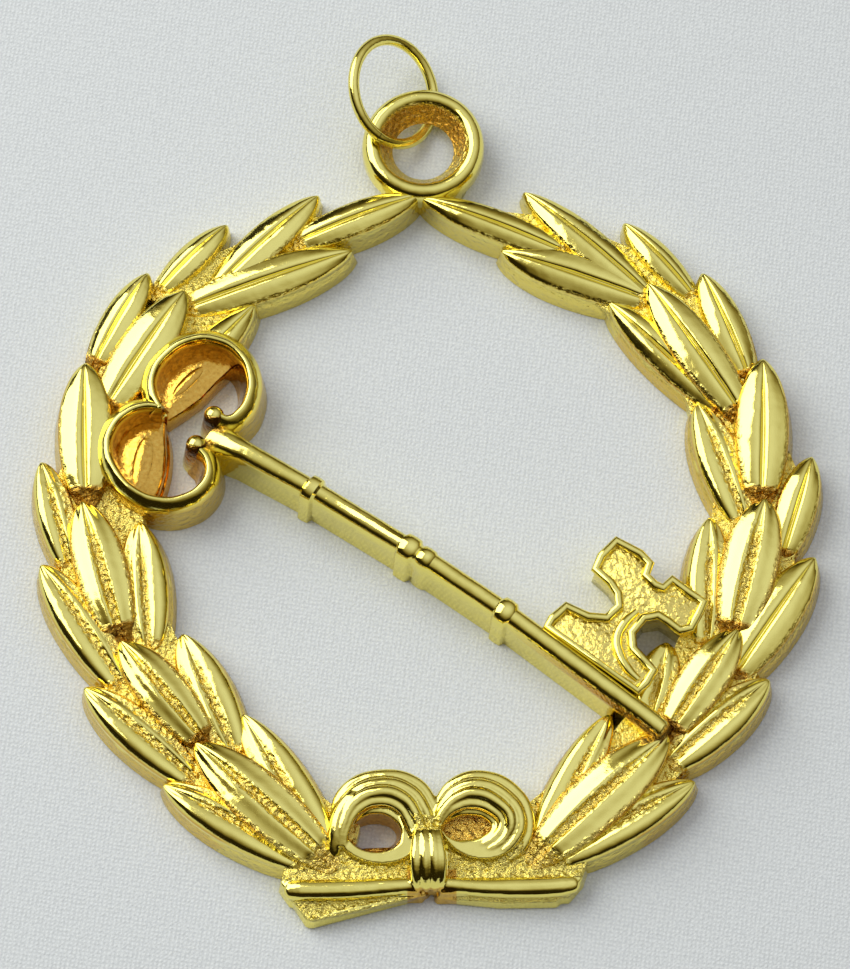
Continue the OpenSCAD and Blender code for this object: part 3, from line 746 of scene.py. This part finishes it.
# The key
# A key lies across the wreath: two round lobes whose ends curl in to a ball, a half-round shaft
# with collars, and a bit whose raised rim stands round a grainy field.
# Section of the lobes' rim, from its middle line: place outwards and height
lobe_section = [
    (1.25, 0.02), (0.96, 3.7), (0.92, 4.08), (0.74, 4.42), (0.52, 4.7), (0.3, 4.95), (0.12, 5.12),
    (-0.04, 5.22), (-0.18, 5.24), (-0.32, 5.16), (-0.46, 4.95), (-0.58, 4.6), (-0.66, 4.1), (-1.6, 0.02)]
upper_lobe = [
    (-20.0, 4.9), (-18.9, 4.55), (-17.7, 5.3), (-16.85, 6.9), (-16.7, 9.1), (-17.8, 11.5), (-20.0, 12.95),
    (-22.6, 13.0), (-25.0, 11.5), (-26.3, 9.4), (-26.3, 7.4), (-25.6, 5.8)]
lower_lobe = [
    (-25.3, 6.1), (-27.1, 6.25), (-28.9, 5.45), (-30.2, 3.9), (-30.6, 1.8), (-29.7, -0.7), (-27.8, -2.75),
    (-25.3, -3.65), (-23.0, -3.35), (-21.4, -2.3), (-20.65, -0.7), (-20.9, 0.8), (-21.8, 1.9)]
lobes = [
    strand([(x, y, 0, 1) for x, y in path], section=lobe_section) for path in (upper_lobe, lower_lobe)]
# A ball on each curled end, on a post down to the back
ball_places = [(-20.3, 5.05), (-22.0, 2.1)]
ball_radius = 0.98
ball_height = 4.6
smooth_parts = []
for x, y in ball_places:
    only([])
    bpy.ops.mesh.primitive_uv_sphere_add(
        segments=24, ring_count=16, radius=ball_radius * mm, location=(x * mm, y * mm, ball_height * mm))
    ball = bpy.context.object
    bpy.ops.object.mode_set(mode="EDIT")
    pick(lambda p: p.z < -0.2 * mm)
    move(z=-2.5 * mm)
    pick(lambda p: p.z < -2.6 * mm)
    scale(1.7, 1.7, 0, about=(x * mm, y * mm, 0.02 * mm))
    bpy.ops.object.mode_set(mode="OBJECT")
    smooth_parts.append(ball)
# Shaft: the section is drawn at the neck, then pulled along and swelled at the collars
neck = Vector((-19.3, 2.58))
shaft_turn = -35.6
shaft_length = 51
shaft_half = 1.08
shaft_crest = 5.3
shaft_bend = 1.2
# Right half of the section from the top down, as shares of its half width and its crest
half_section = [(0.3, 0.99), (0.6, 0.96), (0.84, 0.89), (0.97, 0.78), (1, 0.64), (1.3, 0.004)]
# Along the shaft from the neck: place, and width and height as shares
stations = [(-1.6, 1.7, 0.86), (0, 1.35, 0.95), (2.2, 1.1, 1)]
# Collars: middle, length, and width as a share of the shaft's
for middle, length, swell in ((9.75, 1.5, 1.34), (20.7, 1.9, 1.3), (22.6, 1.6, 1.12), (31.8, 1.8, 1.32)):
    stations += [
        (middle - length / 2, 1, 1), (middle - length / 3, swell, 1.05), (middle, swell * 1.03, 1.06),
        (middle + length / 3, swell, 1.05), (middle + length / 2, 1, 1)]
stations += [(49, 1.02, 1), (50.4, 1.0, 0.98), (50.8, 0.9, 0.9), (shaft_length, 0.7, 0.76)]


def lay_along(part):
    """Turns a part that was drawn along x to the shaft's way and takes it to the neck."""
    only(part)
    turn(shaft_turn)
    move(neck.x * mm, neck.y * mm)


start, start_width, start_height = stations[0]
shaft = outline([
    (start, shaft_half * start_width * out, shaft_crest * start_height * up)
    for out, up in turned_over(half_section) + [(0, 1)] + half_section])
for (was, wide, high), (now, wider, higher) in zip(stations, stations[1:]):
    extrude(x=(now - was) * mm)
    scale(1, wider / wide, higher / high)
bpy.ops.object.mode_set(mode="OBJECT")
for point in shaft.data.vertices:
    point.co.y += shaft_bend * mm * (1 - (2 * point.co.x / (shaft_length * mm) - 1) ** 2)
lay_along(shaft)
smooth_parts.append(shaft)
# Bit: a plate with a grainy top, the raised rim drawn round it, and an arc inside the rim.
# Its corners are measured along the shaft from the neck and out from it
bit_field = 4.35
bit_edge = [
    (35.9, 2.2), (35.8, 3.1), (36.2, 4.9), (38.5, 5.2), (40.0, 6.1), (40.3, 7.7), (39.5, 8.7), (38.3, 9.2),
    (36.4, 9.5), (36.1, 10.9), (36.4, 13.0), (39.0, 13.2), (40.3, 12.9), (40.6, 11.7), (41.9, 11.4),
    (42.7, 11.6), (42.9, 12.8), (45.1, 12.6), (46.6, 12.6), (46.8, 11.3), (47.0, 9.8), (46.3, 9.0),
    (44.9, 9.1), (43.8, 9.1), (42.8, 8.1), (42.7, 6.2), (43.7, 5.0), (45.3, 4.6), (46.5, 4.3),
    (46.6, 2.9), (46.4, 1.8)]
bit_plate = slab(bit_edge, bit_field, draft=0.45, soft=0.05)
bit_rim = strand([(x, y, 4.5, 0.47) for x, y in bit_edge], closed=True, corners=True)
bit_arc = strand([
    (41.9, 8.3, 4.35, 0.35), (41.6, 6.5, 4.4, 0.48), (41.9, 5.0, 4.4, 0.5), (42.8, 4.0, 4.4, 0.5),
    (44.4, 3.1, 4.4, 0.48), (45.8, 2.8, 4.35, 0.35)])
for part in (bit_plate, bit_rim, bit_arc):
    lay_along(part)
smooth_parts += [bit_rim, bit_arc]
# The leaves seen through the lobes are low and plain: a flat floor with one soft ridge in each.
# The ridge's middle, turn, half length and half width follow the floor's corners
floor_height = 2.62
ridge_half_height = 0.6
floors = []
for corners, (x, y), way, half_length, half_width in (
        ([(-18.6, 10.9), (-18.7, 12.2), (-20.6, 12.9), (-22.4, 12.9), (-24.2, 12.0), (-25.5, 10.4),
          (-25.9, 8.6), (-25.6, 6.8), (-24.9, 5.3), (-23.4, 6.3), (-21.7, 7.6), (-20.2, 9.3)],
         (-22.9, 9.4), 46, 2.6, 0.75),
        ([(-25.1, 5.4), (-26.8, 5.6), (-28.4, 4.8), (-29.5, 3.4), (-29.8, 1.6), (-29.2, -0.6),
          (-27.6, -2.2), (-26.2, -2.9), (-25.6, -1.6), (-25.1, 0.2), (-25.0, 2.0), (-25.1, 3.8)],
         (-27.2, 1.2), 80, 3.4, 1.2)):
    floors.append(slab(corners, floor_height, soft=0.3))
    only([])
    bpy.ops.mesh.primitive_uv_sphere_add(segments=32, ring_count=16, radius=mm)
    ridge = bpy.context.object
    scale(half_length, half_width, ridge_half_height)
    turn(way)
    move(x * mm, y * mm, (floor_height - 0.38) * mm)
    floors.append(ridge)
# How far the inside of each lobe reaches from its middle
lobe_insides = list(zip(lobe_middles, (4.75, 4.85)))
cut_end = neck + (Matrix.Rotation(math.radians(shaft_turn), 2) @ Vector((shaft_length, 0)))


def in_lobe(p):
    """True inside one of the two lobes."""
    return any((p.xy - Vector(middle)).length < reach for middle, reach in lobe_insides)


def lobe_grain(p):
    """The outside of the lobes is sandy below its polished rim."""
    return 0 if in_lobe(p) or p.z >= 4.0 else 0.35


def lobe_shade(p):
    """Painted shade: amber inside the lobes, lighter on their outside walls, none on the rim."""
    return (0.68 if in_lobe(p) else 0.3) * (p.z < 4.4)


def under_ball(p):
    """True on the lower half of each ball that faces the key's foot, and on its post."""
    return any(
        (p.xy - Vector((x, y))).length < 1.5 and p.z - ball_height + 0.9 * (p.y - y) < 0.4
        for x, y in ball_places)


def at_cut_end(p):
    """True round the shaft's cut end, below its crest."""
    return (p.xy - cut_end).length < 2.2 and p.z < 4.9


for part in lobes:
    finish(part, "lobe", grained=lobe_grain, shaded=lobe_shade)
# Painted shade on the lower, foot-facing half of each ball with its post, and round the shaft's cut end
for part in smooth_parts:
    finish(
        part, "key_part", grained=lambda p: float(under_ball(p) or at_cut_end(p)),
        shaded=lambda p: max(0.95 * under_ball(p), 0.85 * at_cut_end(p)))
# The floors seen through the lobes get an even amber painted shade
for part in floors:
    finish(part, "lobe_floor", grained=lambda p: 0.06, shaded=lambda p: 0.58)
# The bit's grainy field inside its rim gets a little painted shade
finish(
    bit_plate, "bit_plate", grained=lambda p: 0.35 * (p.z > bit_field - 0.15),
    shaded=lambda p: 0.15 * (p.z > bit_field - 0.15))
hand_over(joined(lobes + smooth_parts + floors + [bit_plate], "laid_key"))


# The jump ring
# A ring of round wire, bent closed on a mandrel and gold plated, hangs loose through the eye
# and lies over its rim. Its cut ends meet under the eye.
wire_radius = 0.55
ring_radius = 5.2
ring_arc = 359
cut_at = -100
ring_lean = 42.7
ring_way = -11.3
ring_middle = Vector((-2.81, 39.08, 4.095)) * mm
only([])
bpy.ops.mesh.primitive_circle_add(vertices=24, radius=wire_radius * mm, fill_type="NGON")
wire = bpy.context.object
bpy.ops.object.mode_set(mode="EDIT")
bpy.ops.mesh.select_all(action="SELECT")
turn(90, "X")
move(ring_radius * mm)
bpy.ops.mesh.spin(steps=120, angle=math.radians(ring_arc), center=(0, 0, 0), axis=(0, 0, 1))
bpy.ops.mesh.select_all(action="SELECT")
turn(cut_at)
turn(ring_lean, "Y")
turn(ring_way)
move(*ring_middle)
finish(wire, "wire_jump_ring", grained=lambda p: 0)
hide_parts("jump_ring")
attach(wire, "root")


# The light
# A large soft window of light high up behind the jewel and to its left; the room on the
# camera's side is dim, so the lower edges of the bright metal look dark.
only([])
bpy.ops.object.light_add(type="AREA", location=(-0.68, 0.43, 0.68))
window = bpy.context.object
window.name = "soft_window"
window.data.shape = "RECTANGLE"
window.data.size = window.data.size_y = 1.08
window.data.energy = 11
window.rotation_euler = (-window.location).to_track_quat("-Z", "Y").to_euler()

room = bpy.data.worlds.new("dim_room")
bpy.context.scene.world = room
room.use_nodes = True
tree = room.node_tree
tree.nodes.clear()
# The room is brightest in this direction and gets darker away from it
brightest = (0.285, 0.151, 0.946)
way = add(tree, "TexCoord").outputs["Generated"]
height = add(tree, "VectorMath", {0: way, 1: brightest}, operation="DOT_PRODUCT").outputs["Value"]
climb = add(tree, "MapRange", {"Value": height, "From Min": 0.277, "From Max": 1}).outputs["Result"]
glow = add(tree, "ValToRGB", {"Fac": climb})
# Warm and dark low down on the camera's side, neutral higher up, cool daylight overhead
glow.color_ramp.elements[0].color = linear("#231D0A")
glow.color_ramp.elements[1].color = linear("#D5DAF7")
for at, colour in ((0.27, "#716642"), (0.44, "#8C8672"), (0.7, "#B0AEAD")):
    glow.color_ramp.elements.new(at).color = linear(colour)
air = add(tree, "Background", {"Color": glow.outputs["Color"], "Strength": 1.12})
add(tree, "OutputWorld", {"Surface": air.outputs["Background"]})

bpy.context.scene.view_settings.view_transform = "Standard"
bpy.context.scene.view_settings.look = "None"
